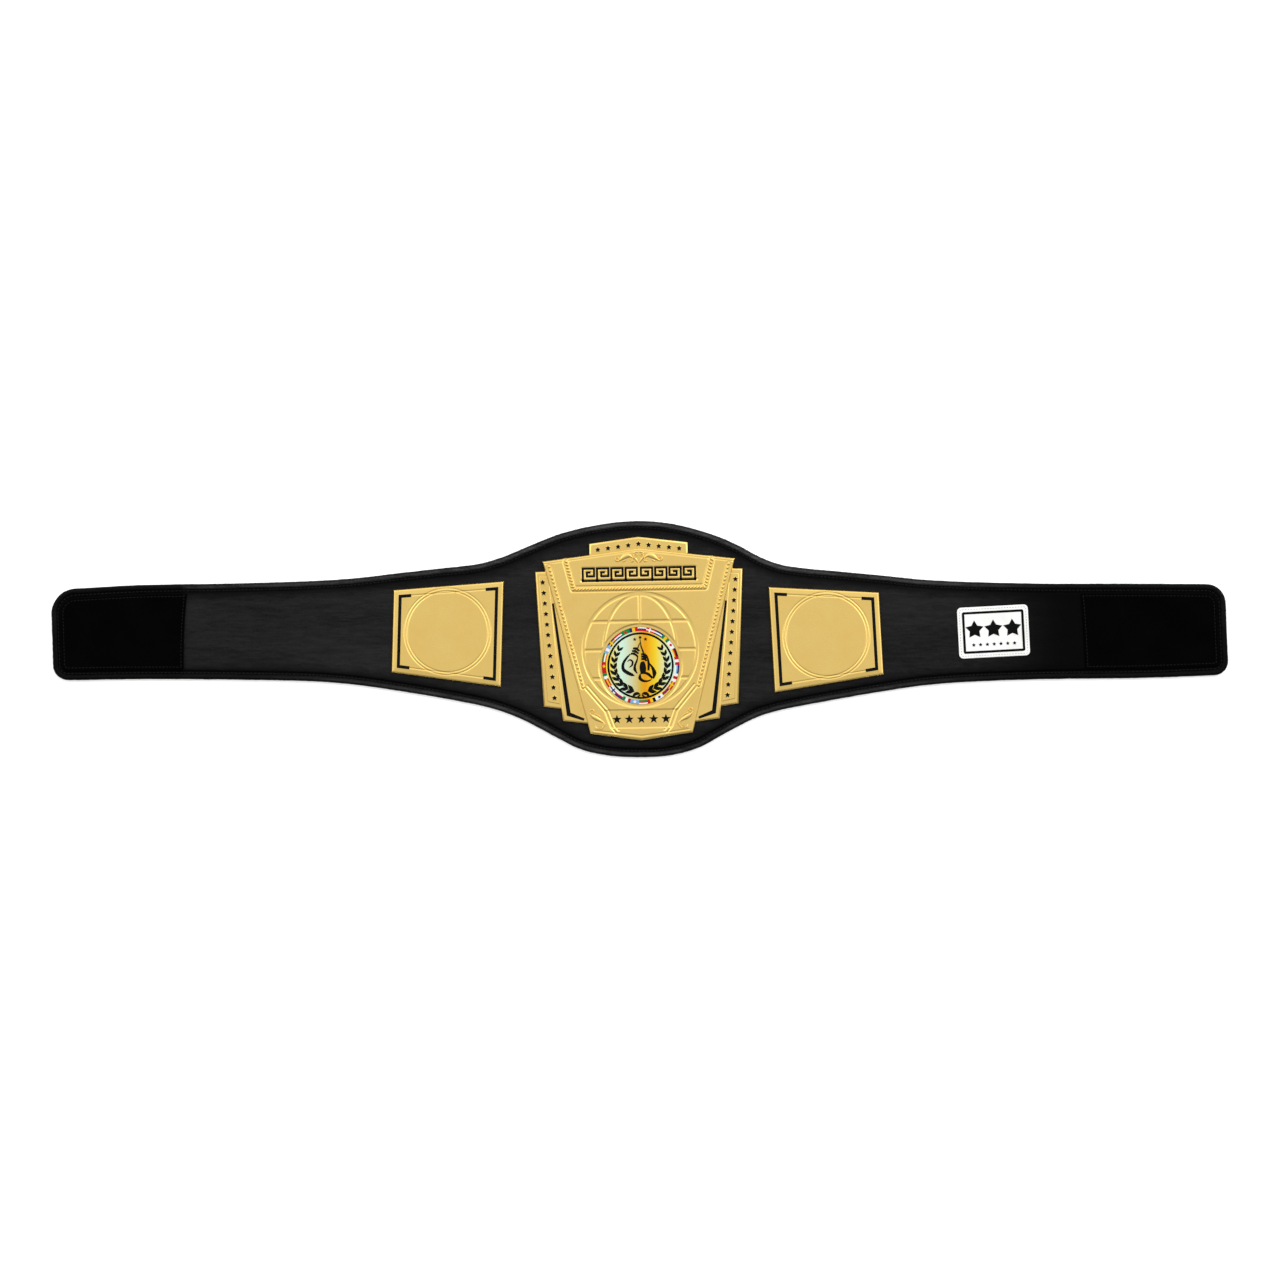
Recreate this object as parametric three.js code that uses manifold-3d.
import * as THREE from 'three';
import { mergeVertices } from 'three/addons/utils/BufferGeometryUtils.js';
import Module from 'manifold-3d';

// A championship title belt laid flat on its back.
// Millimetres, X along the strap, Y across it, Z up, and the strap's back face at Z = 0.

const wasm = await Module();
wasm.setup();

// Strap and its rolled edge
const strapLength = 1270;
const tailTop = 59.5;            // the tail's upper edge, above the long axis
const tailFoot = 43.3;           // the tail's lower edge, below the long axis
const crownMargin = 17.4;        // leather left showing above and below the centre plate
const neckMargin = 18;           // leather above and below a side plate's tall edge
const neckRise = 3.7;            // how far the strap's middle line has risen there
const neckBeyond = 60.5;         // from the centre plate's edge to where the crown ends
const panelThickness = 6;
const panelEdgeRound = 0.6;
const bindingWidth = 5.2;
const bindingHeight = 6.5;
const seamWidth = 3.1;           // the stitched channel between the binding and the padding
const seamDepth = 1.7;
const shoulderRun = 1.9;         // over which the padding rises from the channel
const seatGap = 0.3;             // clear gap between two pieces that rest on each other
const joinBite = 0.4;            // how far cast relief runs into the metal below it

// Rounded corners of the strap's ends, and the ends' lean away from square
const cornerRadius = { leftTop: 27, leftFoot: 16, rightTop: 21, rightFoot: 15 };
const endLean = { left: 0.033, right: 0.041 };

// Hook-and-loop closure
const closureLength = { left: 146, right: 157 };
const closureLean = { left: 0.045, right: 0.063 };
const closureThickness = 1.6;
const hookLength = 118;
const hookWidth = 62;
const hookThickness = 1.5;
const hookInset = 24;            // from the strap's end to the hook panel

// Patch on the right tail
const patchWidth = 76.5;
const patchHeight = 55;
const patchThickness = 1.2;
const patchCorner = 4.5;
const patchTurn = 3;
const patchShare = 0.556;        // its place between the side plate and the closure

// Centre plate
const plateWidth = 224.2;
const plateHeight = 220;
const plateTurn = 1;
const plateLift = 0.45;          // the middle of its height, above the long axis
const plateShift = 0.8;
const wingThickness = 2.6;
const innerWingThickness = 3.3;
const tabThickness = 3.1;
const shieldThickness = 5;
const shieldBevel = 2.8;
const wingBevel = 1.1;
const bevelDrop = 1.2;
const starColumnRise = 0.5;
const starRadius = 1.75;
const starDepth = 0.5;
const tabStars = 9;
const wingStars = 12;
const slotDepth = 0.7;
const slotTopWidth = 1;
const slotFootWidth = 2.3;

// Relief on the shield
const ropeWidth = 4.4;
const ropeRise = 0.9;
const beadRibWidth = 2.6;
const beadRibRise = 0.7;
const bannerDepth = 0.5;         // how far the lower banner is let into the shield
const ribbonWidth = 2.6;
const ribbonSpacing = 4.3;
const ribbonDepth = 0.8;
const globeClearance = 0.8;      // from the globe's ring to the rope round the top banner
const globeRingWidth = 4.3;
const meridianReach = 0.62;      // the inner meridian's half width, as a share of the globe's radius
const globeBarWidth = 3.5;
const globeDepth = 0.8;
const parallelShare = 0.486;     // height of the outer parallels, as a share of the globe's radius

// Ornament in the two banners
const keyCount = 4;              // squared spirals on each side of the banner's middle
const keyMargin = 7;             // from the rope to the outermost spiral
const keyHeight = 15.5;
const keyStroke = 2;
const enamelDepth = 0.6;
const bannerStars = 5;
const bannerStarRadius = 5.4;
const bannerStarMargin = 1.7;

// Medallion and the shallow dish that holds it
const medallionRadius = 41.8;
const medallionThickness = 1.5;
const medallionDome = 1.1;
const dishMargin = 4;            // the gold floor left showing round the medallion
const dishDepth = 0.8;
const dishClearance = 1.25;      // from the dish down to the lower banner

// Side plates: a tall edge towards the middle of the belt and a low edge away from it
const sideWidth = 119.4;
const sideTall = 115;
const sideLow = 89.5;
const sideThickness = 3.6;
const sideBevel = 1.8;
const sidePlace = { left: { gap: 35.2, lift: 6.9, turn: -1.5 }, right: { gap: 29.8, lift: 2.7, turn: 3.3 } };
const ringMargin = 4.2;          // from the ring to the plate's upper edge
const ringWidth = 3.1;
const ringDepth = 0.9;
const ringLift = 1.1;
const bracketInset = 6.6;
const bracketStroke = 2.3;
const bracketTick = 11.5;

// Facets of round work
const edgeStepsPerRow = 2;
const cornerSteps = 5;
const globeSides = 56;
const medallionSides = 64;
const domeSteps = 8;
const starPoints = 5;
const starWaist = 0.42;          // a star's inner corners, as a share of its radius
const filletRoom = 0.96;         // the share of a short edge that a rounded corner may take

const halfTurn = Math.PI;
const quarterTurn = Math.PI / 2;

// The strap's edge. Along the crown and along the taper, each height is a share of the way
// from the neck to the crown, and from the tail to the neck.
const crownRows = [
  { along: 0, leftTop: 1, rightTop: 1, leftFoot: 1, rightFoot: 1 },
  { along: 0.125, leftTop: 0.98, rightTop: 0.975, leftFoot: 0.99, rightFoot: 0.99 },
  { along: 0.25, leftTop: 0.92, rightTop: 0.905, leftFoot: 0.94, rightFoot: 0.93 },
  { along: 0.375, leftTop: 0.83, rightTop: 0.79, leftFoot: 0.84, rightFoot: 0.81 },
  { along: 0.5, leftTop: 0.71, rightTop: 0.64, leftFoot: 0.65, rightFoot: 0.6 },
  { along: 0.625, leftTop: 0.54, rightTop: 0.44, leftFoot: 0.44, rightFoot: 0.39 },
  { along: 0.75, leftTop: 0.35, rightTop: 0.2, leftFoot: 0.245, rightFoot: 0.205 },
  { along: 0.875, leftTop: 0.17, rightTop: 0.03, leftFoot: 0.1, rightFoot: 0.09 },
  { along: 1, leftTop: 0.045, rightTop: -0.045, leftFoot: -0.005, rightFoot: 0.01 },
];
const taperRows = [
  { along: 0.093, leftTop: 0.84, rightTop: 0.68, leftFoot: 0.7, rightFoot: 0.74 },
  { along: 0.186, leftTop: 0.6, rightTop: 0.48, leftFoot: 0.45, rightFoot: 0.48 },
  { along: 0.28, leftTop: 0.34, rightTop: 0.25, leftFoot: 0.23, rightFoot: 0.25 },
  { along: 0.373, leftTop: 0.18, rightTop: 0.13, leftFoot: 0.095, rightFoot: 0.12 },
  { along: 0.559, leftTop: 0.035, rightTop: 0.02, leftFoot: 0.02, rightFoot: 0 },
  { along: 0.792, leftTop: -0.065, rightTop: 0.015, leftFoot: 0, rightFoot: -0.045 },
  { along: 0.932, leftTop: -0.24, rightTop: 0, leftFoot: 0.03, rightFoot: -0.125 },
];
const endRow = { leftTop: -0.31, rightTop: -0.02, leftFoot: 0.04, rightFoot: -0.17 };

// Corners of the centre plate's parts: shares of its half width and of its height,
// from the globe's centre. Each outline lists its right half, top first.
const tabCorners = [{ out: 0, up: 0.554 }, { out: 0.474, up: 0.523 }, { out: 0.477, up: 0.42 }];
const shieldCorners = [
  { out: 0, up: 0.5 }, { out: 0.929, up: 0.441 }, { out: 0.495, up: -0.41 }, { out: 0, up: -0.446 },
];
const outerWingCorners = [
  { out: 0.85, up: 0.391 }, { out: 1, up: 0.391 }, { out: 0.938, up: -0.272 }, { out: 0.7, up: -0.289 },
];
const innerWingCorners = [
  { out: 0.7, up: 0.385 }, { out: 0.892, up: 0.385 }, { out: 0.77, up: -0.28 },
  { out: 0.754, up: -0.343 }, { out: 0.45, up: -0.363 },
];
const starColumnCorners = [
  { out: 0.86, up: 0.368 }, { out: 0.965, up: 0.368 }, { out: 0.905, up: -0.248 }, { out: 0.774, up: -0.262 },
];
const slotPath = [{ out: 0.832, up: 0.234 }, { out: 0.698, up: -0.31 }, { out: 0.55, up: -0.338 }];
const bannerCorners = [{ out: 0.7, up: 0.438 }, { out: 0.632, up: 0.301 }];
const lowerBannerCorners = [{ out: 0.363, up: -0.292 }, { out: 0.299, up: -0.384 }];
const beadPath = [{ out: 0.862, up: 0.414 }, { out: 0.555, up: -0.178 }];
const ribbonPath = [
  { out: 0.537, up: -0.184 }, { out: 0.34, up: -0.304 }, { out: 0.284, up: -0.383 }, { out: 0.246, up: -0.405 },
];
const starRows = {
  tab: { middle: { out: 0, up: 0.519 }, last: { out: 0.391, up: 0.4935 } },
  wing: { first: { out: 0.927, up: 0.338 }, last: { out: 0.831, up: -0.229 } },
};
const keyBase = 0.341;           // heights of the ornaments, as shares of the plate's height
const bannerStarHeight = -0.34;

// Sections of ridges and channels and of the rolled edge: shares of the width and of the height
const ridgeSection = [
  { across: 0, up: 0 }, { across: 0.16, up: 0.65 }, { across: 0.36, up: 0.96 },
  { across: 0.64, up: 0.96 }, { across: 0.84, up: 0.65 }, { across: 1, up: 0 },
];
const shoulderSection = [{ across: 0, up: 0 }, { across: 0.35, up: 0.75 }, { across: 1, up: 1 }];
const bindingSection = [
  { across: 0.12, up: 0 }, { across: 0, up: 0.2 }, { across: 0, up: 0.62 }, { across: 0.2, up: 0.92 },
  { across: 0.5, up: 1 }, { across: 0.8, up: 0.9 }, { across: 1, up: 0.6 }, { across: 1, up: 0 },
];
const keyUnit = [
  { across: 0.07, up: 0 }, { across: 0.07, up: 1 }, { across: 0.86, up: 1 }, { across: 0.86, up: 0.36 },
  { across: 0.36, up: 0.36 }, { across: 0.36, up: 0.68 }, { across: 0.62, up: 0.68 },
];

// Sizes that follow
const crownHalf = plateHeight / 2 + crownMargin;
const neckHalf = sideTall / 2 + neckMargin;
const neckRun = plateWidth / 2 + neckBeyond;
const heights = {
  Top: { crown: crownHalf, neck: neckHalf + neckRise, tail: tailTop, sign: 1 },
  Foot: { crown: crownHalf, neck: neckHalf - neckRise, tail: tailFoot, sign: -1 },
};
const bodyInset = bindingWidth + seatGap;
const shoulderInset = bodyInset + seamWidth;
const paddingInset = shoulderInset + shoulderRun;
const seatHeight = panelThickness + seatGap;
const globeHeight = -shieldCorners.at(-1).up * plateHeight;
const globeRadius = bannerCorners.at(-1).up * plateHeight - ropeWidth / 2 - globeClearance;
const dishRadius = medallionRadius + dishMargin;
const medallionDrop = -lowerBannerCorners[0].up * plateHeight - dishRadius - dishClearance;
const keyPitch = ((bannerCorners.at(-1).out * plateWidth) / 2 - ropeWidth / 2 - keyMargin) / keyCount;
const bannerStarReach = (lowerBannerCorners.at(-1).out * plateWidth) / 2 - bannerStarRadius - bannerStarMargin;
const ringRadius = (sideTall + sideLow) / 4 - ringLift - ringMargin;
const tailMiddle = (tailTop - tailFoot) / 2;

function mix(from, to, share) {
  return from + (to - from) * share;
}

function at(x, y) {
  return new THREE.Vector2(x, y);
}

function counterClockwise(points) {
  return THREE.ShapeUtils.area(points) < 0 ? points.slice().reverse() : points;
}

// Moves every edge of a closed outline inwards by the same distance
function inset(points, distance) {
  return points.map((point, index) => {
    const before = points[(index + points.length - 1) % points.length];
    const after = points[(index + 1) % points.length];
    const arriving = point.clone().sub(before).normalize();
    const leaving = after.clone().sub(point).normalize();
    const inwards = at(-arriving.y - leaving.y, arriving.x + leaving.x);
    return point.clone().addScaledVector(inwards, distance / (1 + arriving.dot(leaving)));
  });
}

// The outline of a band of even width along a path, or of changing width when given a list
function strip(path, width) {
  const widths = Array.isArray(width) ? width : path.map(() => width);
  const side = (sign) => path.map((point, index) => {
    const before = path[Math.max(index - 1, 0)];
    const after = path[Math.min(index + 1, path.length - 1)];
    const arriving = point.clone().sub(index ? before : after).normalize();
    if (!index) arriving.negate();
    const leaving = index === path.length - 1 ? arriving.clone() : after.clone().sub(point).normalize();
    const across = at(-arriving.y - leaving.y, arriving.x + leaving.x);
    return point.clone().addScaledVector(across, (sign * widths[index]) / 2 / (1 + arriving.dot(leaving)));
  });
  return counterClockwise(side(-1).concat(side(1).reverse()));
}

function shiftPath(path, distance) {
  const outline = strip(path, 2 * Math.abs(distance));
  const first = distance > 0 ? outline.slice(0, path.length) : outline.slice(path.length).reverse();
  return first;
}

function geometryFrom(positions, indices) {
  const geometry = new THREE.BufferGeometry();
  geometry.setAttribute('position', new THREE.Float32BufferAttribute(positions, 3));
  geometry.setIndex(indices);
  return geometry;
}

// A closed body through a stack of outlines with the same number of corners, lowest first
function loft(rings) {
  const count = rings[0].points.length;
  const positions = rings.flatMap((ring) => ring.points.flatMap((point) => [point.x, point.y, ring.z]));
  const indices = [];
  for (let ring = 0; ring < rings.length - 1; ring += 1) {
    for (let corner = 0; corner < count; corner += 1) {
      const low = ring * count + corner;
      const lowNext = ring * count + (corner + 1) % count;
      indices.push(low, lowNext, lowNext + count, low, lowNext + count, low + count);
    }
  }
  const top = (rings.length - 1) * count;
  THREE.ShapeUtils.triangulateShape(rings[0].points, []).forEach(([a, b, c]) => indices.push(a, c, b));
  THREE.ShapeUtils.triangulateShape(rings.at(-1).points, [])
    .forEach(([a, b, c]) => indices.push(top + a, top + b, top + c));
  return geometryFrom(positions, indices);
}

// A closed ring that follows an outline, with one section all the way round
function hoop(outline, width, height, section, base) {
  const count = section.length;
  const rings = section.map((row) => ({
    points: inset(outline, row.across * width),
    z: base + row.up * height,
  }));
  const positions = rings.flatMap((ring) => ring.points.flatMap((point) => [point.x, point.y, ring.z]));
  const indices = [];
  for (let row = 0; row < count; row += 1) {
    for (let corner = 0; corner < outline.length; corner += 1) {
      const next = (corner + 1) % outline.length;
      const here = row * outline.length;
      const there = ((row + 1) % count) * outline.length;
      indices.push(here + corner, here + next, there + next, here + corner, there + next, there + corner);
    }
  }
  return geometryFrom(positions, indices);
}

function solid(geometry) {
  const bare = geometry.clone();
  bare.deleteAttribute('normal');
  bare.deleteAttribute('uv');
  const merged = mergeVertices(bare);
  return new wasm.Manifold(new wasm.Mesh({
    numProp: 3,
    vertProperties: new Float32Array(merged.attributes.position.array),
    triVerts: new Uint32Array(merged.index.array),
  }));
}

function geometryOf(body) {
  const mesh = body.getMesh();
  return geometryFrom(Array.from(mesh.vertProperties), Array.from(mesh.triVerts));
}

function join(bodies) {
  return bodies.reduce((whole, body) => whole.add(body));
}

function cut(whole, bodies) {
  return bodies.reduce((rest, body) => rest.subtract(body), whole);
}

function prism(points, bottom, top) {
  const shape = new THREE.Shape(points);
  const geometry = new THREE.ExtrudeGeometry(shape, { depth: top - bottom, bevelEnabled: false });
  return solid(geometry.translate(0, 0, bottom));
}

// A plate with an upright foot and a sloping edge round its top
function bevelled(points, bottom, top, run, drop) {
  const outline = counterClockwise(points);
  return solid(loft([
    { points: outline, z: bottom },
    { points: outline, z: top - drop },
    { points: inset(outline, run), z: top },
  ]));
}

// A rounded ridge on a face, along a strip
function ridge(path, width, rise, face) {
  const outline = strip(path, width);
  const rings = ridgeSection.slice(0, ridgeSection.length / 2);
  return solid(loft([
    { points: outline, z: face - joinBite },
    ...rings.map((row) => ({ points: inset(outline, row.across * width), z: face + row.up * rise })),
  ]));
}

function roundOutline(radiusX, radiusY, sides, centre) {
  const curve = new THREE.EllipseCurve(centre.x, centre.y, radiusX, radiusY, 0, 2 * halfTurn);
  return curve.getPoints(sides).slice(0, sides);
}

// A tool for a channel with a round floor in a face, along a strip
function channel(path, width, depth, face) {
  const outline = strip(path, width);
  const rings = ridgeSection.slice(0, ridgeSection.length / 2).reverse();
  return solid(loft([
    ...rings.map((row) => ({ points: inset(outline, row.across * width), z: face - row.up * depth })),
    { points: outline, z: face + joinBite },
  ]));
}

// The same along a closed outline, which is the channel's outer edge
function ringChannel(outline, width, depth, face) {
  const floor = ridgeSection.slice().reverse().map((row) => ({ across: row.across, up: -row.up }));
  const section = [{ across: 0, up: joinBite / depth }, { across: 1, up: joinBite / depth }, ...floor];
  return solid(hoop(outline, width, depth, section, face));
}

// A tool for a shallow recess whose walls slope
function recess(points, depth, face) {
  const outline = counterClockwise(points);
  return solid(loft([
    { points: inset(outline, depth), z: face - depth },
    { points: outline, z: face },
    { points: outline, z: face + joinBite },
  ]));
}

function starOutline(centre, radius) {
  return Array.from({ length: 2 * starPoints }, (unused, index) => {
    const reach = index % 2 ? radius * starWaist : radius;
    const angle = quarterTurn + (index * halfTurn) / starPoints;
    return at(centre.x + reach * Math.cos(angle), centre.y + reach * Math.sin(angle));
  });
}

function rounded(before, corner, after, radius, steps) {
  const back = before.clone().sub(corner);
  const forth = after.clone().sub(corner);
  const half = Math.acos(back.clone().normalize().dot(forth.clone().normalize())) / 2;
  const room = Math.min(back.length(), forth.length() / 2);
  const reach = Math.min(radius / Math.tan(half), room * filletRoom);
  const start = corner.clone().addScaledVector(back.normalize(), reach);
  const end = corner.clone().addScaledVector(forth.normalize(), reach);
  const used = reach * Math.tan(half);
  const centre = corner.clone().addScaledVector(
    back.clone().add(forth).normalize(), used / Math.sin(half),
  );
  const first = start.clone().sub(centre).angle();
  let sweep = end.clone().sub(centre).angle() - first;
  if (sweep > halfTurn) sweep -= 2 * halfTurn;
  if (sweep < -halfTurn) sweep += 2 * halfTurn;
  return Array.from({ length: steps + 1 }, (unused, step) => {
    const angle = first + (sweep * step) / steps;
    return at(centre.x + used * Math.cos(angle), centre.y + used * Math.sin(angle));
  });
}

function roundedBox(width, height, radius, steps) {
  const right = width / 2;
  const top = height / 2;
  const corners = [at(-right, -top), at(right, -top), at(right, top), at(-right, top)];
  const middle = (a, b) => a.clone().add(b).multiplyScalar(0.5);
  return corners.flatMap((corner, index) => {
    const before = corners[(index + 3) % 4];
    const after = corners[(index + 1) % 4];
    return rounded(middle(before, corner), corner, middle(corner, after), radius, steps);
  });
}

// One of the strap's long edges, from its left end to its right end
function strapEdge(edge) {
  const { crown, neck, tail, sign } = heights[edge];
  const halfLength = strapLength / 2;
  const onSide = (side, direction) => [
    ...crownRows.slice(1).map((row) => at(
      direction * row.along * neckRun, sign * mix(neck, crown, row[side + edge]),
    )),
    ...taperRows.map((row) => at(
      direction * mix(neckRun, halfLength, row.along), sign * mix(tail, neck, row[side + edge]),
    )),
  ];
  const middle = at(0, sign * crown);
  const points = [...onSide('left', -1).reverse(), middle, ...onSide('right', 1)];
  const curve = new THREE.CatmullRomCurve3(points.map((point) => new THREE.Vector3(point.x, point.y, 0)));
  return curve.getPoints((points.length - 1) * edgeStepsPerRow).map((point) => at(point.x, point.y));
}

function endCorner(side, edge) {
  const { neck, tail, sign } = heights[edge];
  const direction = side === 'left' ? -1 : 1;
  const height = sign * mix(tail, neck, endRow[side + edge]);
  const lean = side === 'left' ? endLean.left : -endLean.right;
  const reach = strapLength / 2 - ((tailTop + tailFoot) / 4) * Math.abs(lean);
  return at(direction * (reach + (height - tailMiddle) * lean), height);
}

function strapOutline() {
  const foot = strapEdge('Foot');
  const top = strapEdge('Top').reverse();
  const corners = {
    rightFoot: endCorner('right', 'Foot'),
    rightTop: endCorner('right', 'Top'),
    leftTop: endCorner('left', 'Top'),
    leftFoot: endCorner('left', 'Foot'),
  };
  const turn = (name, before, after) => rounded(before, corners[name], after, cornerRadius[name], cornerSteps);
  return [
    ...foot,
    ...turn('rightFoot', foot.at(-1), corners.rightTop),
    ...turn('rightTop', top[0], corners.rightFoot).reverse(),
    ...top,
    ...turn('leftTop', top.at(-1), corners.leftFoot),
    ...turn('leftFoot', foot[0], corners.leftTop).reverse(),
  ];
}

const outline = strapOutline();

function strapPanel() {
  const channel = panelThickness - seamDepth;
  const body = solid(loft([
    { points: inset(outline, bodyInset + panelEdgeRound), z: 0 },
    { points: inset(outline, bodyInset), z: panelEdgeRound },
    { points: inset(outline, bodyInset), z: channel },
    ...shoulderSection.map((row) => ({
      points: inset(outline, shoulderInset + row.across * shoulderRun),
      z: mix(channel, panelThickness, row.up),
    })),
  ]));
  const pocket = hookOutline(seatGap);
  return geometryOf(cut(body, [prism(pocket, -joinBite, hookThickness + seatGap)]));
}

function edgeBinding() {
  return hoop(outline, bindingWidth, bindingHeight, bindingSection, 0);
}

// The closure covers the padding from its inner edge out to the strap's end
function closurePanel(side) {
  const direction = side === 'left' ? -1 : 1;
  const start = strapLength / 2 - closureLength[side];
  const lean = side === 'left' ? closureLean.left : -closureLean.right;
  const edgeAt = (height) => at(direction * start + (height - tailMiddle) * lean, height);
  const reach = crownHalf;
  const area = [
    edgeAt(-reach), at(direction * strapLength, -reach), at(direction * strapLength, reach), edgeAt(reach),
  ];
  const cover = prism(inset(outline, paddingInset), seatHeight, seatHeight + closureThickness);
  return geometryOf(cover.intersect(prism(area, 0, 2 * seatHeight + closureThickness)));
}

function hookOutline(clearance) {
  const centre = at(strapLength / 2 - hookInset - hookLength / 2, tailMiddle);
  return roundedBox(hookLength + 2 * clearance, hookWidth + 2 * clearance, patchCorner, cornerSteps)
    .map((point) => point.add(centre));
}

function hookPanel() {
  return geometryOf(prism(hookOutline(0), 0, hookThickness));
}

function labelPatch() {
  const shape = roundedBox(patchWidth, patchHeight, patchCorner, cornerSteps);
  return geometryOf(prism(shape, 0, patchThickness));
}

// Places on the centre plate, from shares to millimetres
function onPlate(corner, side = 1) {
  return at((side * corner.out * plateWidth) / 2, corner.up * plateHeight);
}

function platePath(corners, side = 1) {
  return corners.map((corner) => onPlate(corner, side));
}

function bothSides(corners) {
  const right = platePath(corners);
  const left = platePath(corners, -1).reverse().filter((point) => Math.abs(point.x) > joinBite);
  return counterClockwise([...right, ...left]);
}

function outerWing(side) {
  const wing = bevelled(platePath(outerWingCorners, side), 0, wingThickness, wingBevel, bevelDrop);
  const column = bevelled(
    platePath(starColumnCorners, side), wingThickness - joinBite, wingThickness + starColumnRise,
    starColumnRise, starColumnRise,
  );
  return wing.add(column);
}

function innerWing(side) {
  const wing = bevelled(platePath(innerWingCorners, side), 0, innerWingThickness, wingBevel, bevelDrop);
  const slot = strip(platePath(slotPath, side), [slotTopWidth, slotFootWidth, slotTopWidth]);
  return cut(wing, [prism(slot, innerWingThickness - slotDepth, 2 * innerWingThickness)]);
}

function starTools() {
  const { tab, wing } = starRows;
  const tools = [];
  const sink = (centre, face) => tools.push(
    prism(starOutline(centre, starRadius), face - starDepth, face + shieldThickness),
  );
  const middle = (tabStars - 1) / 2;
  for (let index = 0; index < tabStars; index += 1) {
    const share = Math.abs(index - middle) / middle;
    const centre = onPlate({ out: tab.last.out * share, up: mix(tab.middle.up, tab.last.up, share) });
    sink(at(Math.sign(index - middle) * centre.x, centre.y), tabThickness);
  }
  [-1, 1].forEach((side) => {
    for (let index = 0; index < wingStars; index += 1) {
      const share = index / (wingStars - 1);
      const out = mix(wing.first.out, wing.last.out, share);
      const up = mix(wing.first.up, wing.last.up, share);
      sink(onPlate({ out, up }, side), wingThickness + starColumnRise);
    }
  });
  return tools;
}

function shieldBody() {
  return bevelled(bothSides(shieldCorners), 0, shieldThickness, shieldBevel, bevelDrop);
}

function topBanner() {
  const sides = [-1, 1].map((side) => platePath(bannerCorners, side));
  const path = [sides[0][0], sides[0][1], sides[1][1], sides[1][0]];
  return ridge(path, ropeWidth, ropeRise, shieldThickness);
}

function lowerBanner() {
  return recess(bothSides(lowerBannerCorners), bannerDepth, shieldThickness);
}

function beadRibs() {
  return [-1, 1].map((side) => ridge(platePath(beadPath, side), beadRibWidth, beadRibRise, shieldThickness));
}

function ribbons() {
  return [-1, 1].flatMap((side) => {
    const inner = platePath(ribbonPath, side);
    const outer = shiftPath(inner, side * -ribbonSpacing);
    return [inner, outer].map((path) => channel(path, ribbonWidth, ribbonDepth, shieldThickness));
  });
}

function globe() {
  const centre = at(0, 0);
  const inside = globeRadius - globeRingWidth / 2;
  const halfBar = globeBarWidth / 2;
  const ring = roundOutline(globeRadius, globeRadius, globeSides, centre);
  const meridian = roundOutline(meridianReach * globeRadius + halfBar, inside, globeSides, centre);
  const parallels = [-parallelShare, 0, parallelShare].map((share) => {
    const height = share * globeRadius;
    const reach = Math.sqrt(inside ** 2 - height ** 2);
    return channel([at(-reach, height), at(reach, height)], globeBarWidth, globeDepth, shieldThickness);
  });
  return [
    ringChannel(ring, globeRingWidth, globeDepth, shieldThickness),
    ringChannel(meridian, globeBarWidth, globeDepth, shieldThickness),
    channel([at(0, -inside), at(0, inside)], globeBarWidth, globeDepth, shieldThickness),
    ...parallels,
  ];
}

function medallionDish() {
  const edge = roundOutline(dishRadius, dishRadius, medallionSides, at(0, -medallionDrop));
  return recess(edge, dishDepth, shieldThickness);
}

// Squared spirals stand on a common rail, turned towards the middle from both sides
function keyTools() {
  const base = keyBase * plateHeight;
  const bottom = shieldThickness - enamelDepth;
  const top = shieldThickness + ropeRise;
  const half = keyCount * keyPitch;
  const tools = [prism(strip([at(-half, base), at(half, base)], keyStroke), bottom, top)];
  [-1, 1].forEach((side) => {
    for (let index = 0; index < keyCount; index += 1) {
      const path = keyUnit.map((row) => at(
        side * (half - (index + row.across) * keyPitch), base + row.up * (keyHeight - keyStroke),
      ));
      tools.push(prism(strip(path, keyStroke), bottom, top));
    }
  });
  return tools;
}

function bannerStarTools() {
  const face = shieldThickness - bannerDepth;
  const middle = (bannerStars - 1) / 2;
  return Array.from({ length: bannerStars }, (unused, index) => {
    const centre = at(((index - middle) * bannerStarReach) / middle, bannerStarHeight * plateHeight);
    return prism(starOutline(centre, bannerStarRadius), face - enamelDepth, face + shieldThickness);
  });
}

function centrePlate() {
  const tab = bevelled(bothSides(tabCorners), 0, tabThickness, wingBevel, bevelDrop);
  const body = join([
    outerWing(-1), outerWing(1), innerWing(-1), innerWing(1), tab, shieldBody(), topBanner(), ...beadRibs(),
  ]);
  const relief = [...globe(), ...ribbons(), medallionDish(), lowerBanner()];
  return geometryOf(cut(body, [...relief, ...starTools(), ...keyTools(), ...bannerStarTools()]));
}

function medallion() {
  const edge = medallionThickness;
  const dome = Array.from({ length: domeSteps + 1 }, (unused, step) => {
    const share = step / domeSteps;
    return at(medallionRadius * (1 - share), edge + medallionDome * (1 - (1 - share) ** 2));
  });
  dome.at(-1).x = 0;
  const profile = [at(0, 0), at(medallionRadius, 0), ...dome];
  return new THREE.LatheGeometry(profile, medallionSides).rotateX(quarterTurn);
}

// A bar along one upright edge with a tick at each end, through four corners of a frame
function bracketPath(points, first, second, third, fourth) {
  const tickFrom = (corner, towards) => corner.clone().add(
    towards.clone().sub(corner).normalize().multiplyScalar(bracketTick),
  );
  const start = tickFrom(points[second], points[first]);
  const end = tickFrom(points[third], points[fourth]);
  return [start, points[second], points[third], end];
}

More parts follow.
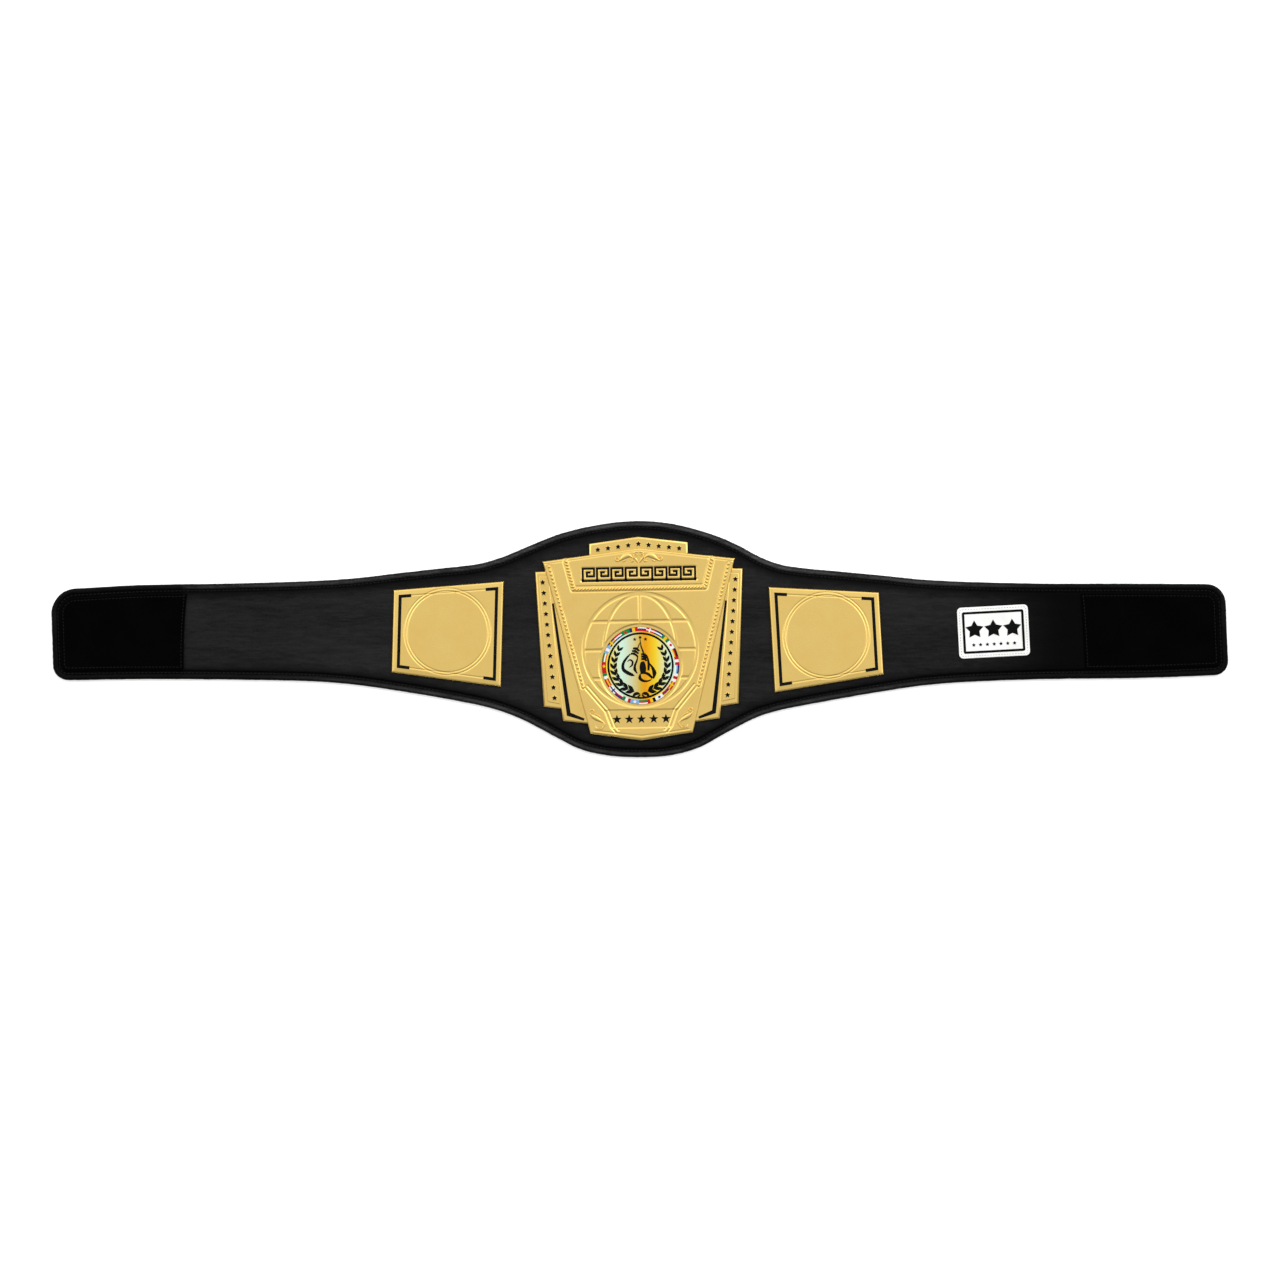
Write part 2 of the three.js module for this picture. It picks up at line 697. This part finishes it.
// The tall edge faces the middle of the belt: towards +X on the left plate
function sidePlate(side) {
  const facing = side === 'left' ? 1 : -1;
  const shape = counterClockwise([
    at((-facing * sideWidth) / 2, -sideLow / 2), at((facing * sideWidth) / 2, -sideTall / 2),
    at((facing * sideWidth) / 2, sideTall / 2), at((-facing * sideWidth) / 2, sideLow / 2),
  ]);
  const plate = bevelled(shape, 0, sideThickness, sideBevel, bevelDrop);
  const ring = roundOutline(ringRadius, ringRadius, globeSides, at(0, ringLift));
  const lines = inset(shape, bracketInset + bracketStroke / 2);
  const brackets = [[0, 1, 2, 3], [2, 3, 0, 1]].map((order) => prism(
    strip(bracketPath(lines, ...order), bracketStroke), sideThickness - slotDepth, 2 * sideThickness,
  ));
  return geometryOf(cut(plate, [ringChannel(ring, ringWidth, ringDepth, sideThickness), ...brackets]));
}

function piece(name, geometry, look) {
  const mesh = new THREE.Mesh(geometry, new THREE.MeshStandardMaterial(look));
  mesh.name = name;
  return mesh;
}

function place(mesh, x, y, z, degrees) {
  mesh.position.set(x, y, z);
  mesh.rotation.z = THREE.MathUtils.degToRad(degrees);
  return mesh;
}

const leather = { color: 0x1c1c1d, roughness: 0.5, metalness: 0 };
const gold = { color: 0xe0c070, roughness: 0.32, metalness: 1 };
const loop = { color: 0x050505, roughness: 0.95, metalness: 0 };
const print = { color: 0xd9a520, roughness: 0.2, metalness: 0.2 };
const cloth = { color: 0xf2f2f0, roughness: 0.8, metalness: 0 };

function placedSidePlate(side) {
  const { gap, lift, turn } = sidePlace[side];
  const direction = side === 'left' ? -1 : 1;
  const centre = direction * (plateWidth / 2 + gap + sideWidth / 2);
  return place(piece(`side_plate_${side}`, sidePlate(side), gold), centre, lift, seatHeight, turn);
}

function placedPatch() {
  const start = plateWidth / 2 + sidePlace.right.gap + sideWidth;
  const end = strapLength / 2 - closureLength.right;
  const patch = piece('label_patch', labelPatch(), cloth);
  return place(patch, mix(start, end, patchShare), tailMiddle, seatHeight, patchTurn);
}

function dressedCentre() {
  const group = new THREE.Group();
  const disc = piece('medallion', medallion(), print);
  disc.position.set(0, -medallionDrop, shieldThickness - dishDepth + seatGap);
  group.add(piece('centre_plate', centrePlate(), gold), disc);
  return place(group, plateShift, plateLift - plateHeight / 2 + globeHeight, seatHeight, plateTurn);
}

const belt = new THREE.Group();
belt.add(
  piece('strap_panel', strapPanel(), leather),
  piece('edge_binding', edgeBinding(), leather),
  dressedCentre(),
  placedSidePlate('left'),
  placedSidePlate('right'),
  piece('closure_panel_left', closurePanel('left'), loop),
  piece('closure_panel_right', closurePanel('right'), loop),
  piece('hook_panel_back', hookPanel(), loop),
  placedPatch(),
);

// The origin is the middle of the belt's box, at its foot
const box = new THREE.Box3().setFromObject(belt);
const centre = box.getCenter(new THREE.Vector3());
belt.position.set(-centre.x, -centre.y, 0);

export default belt;
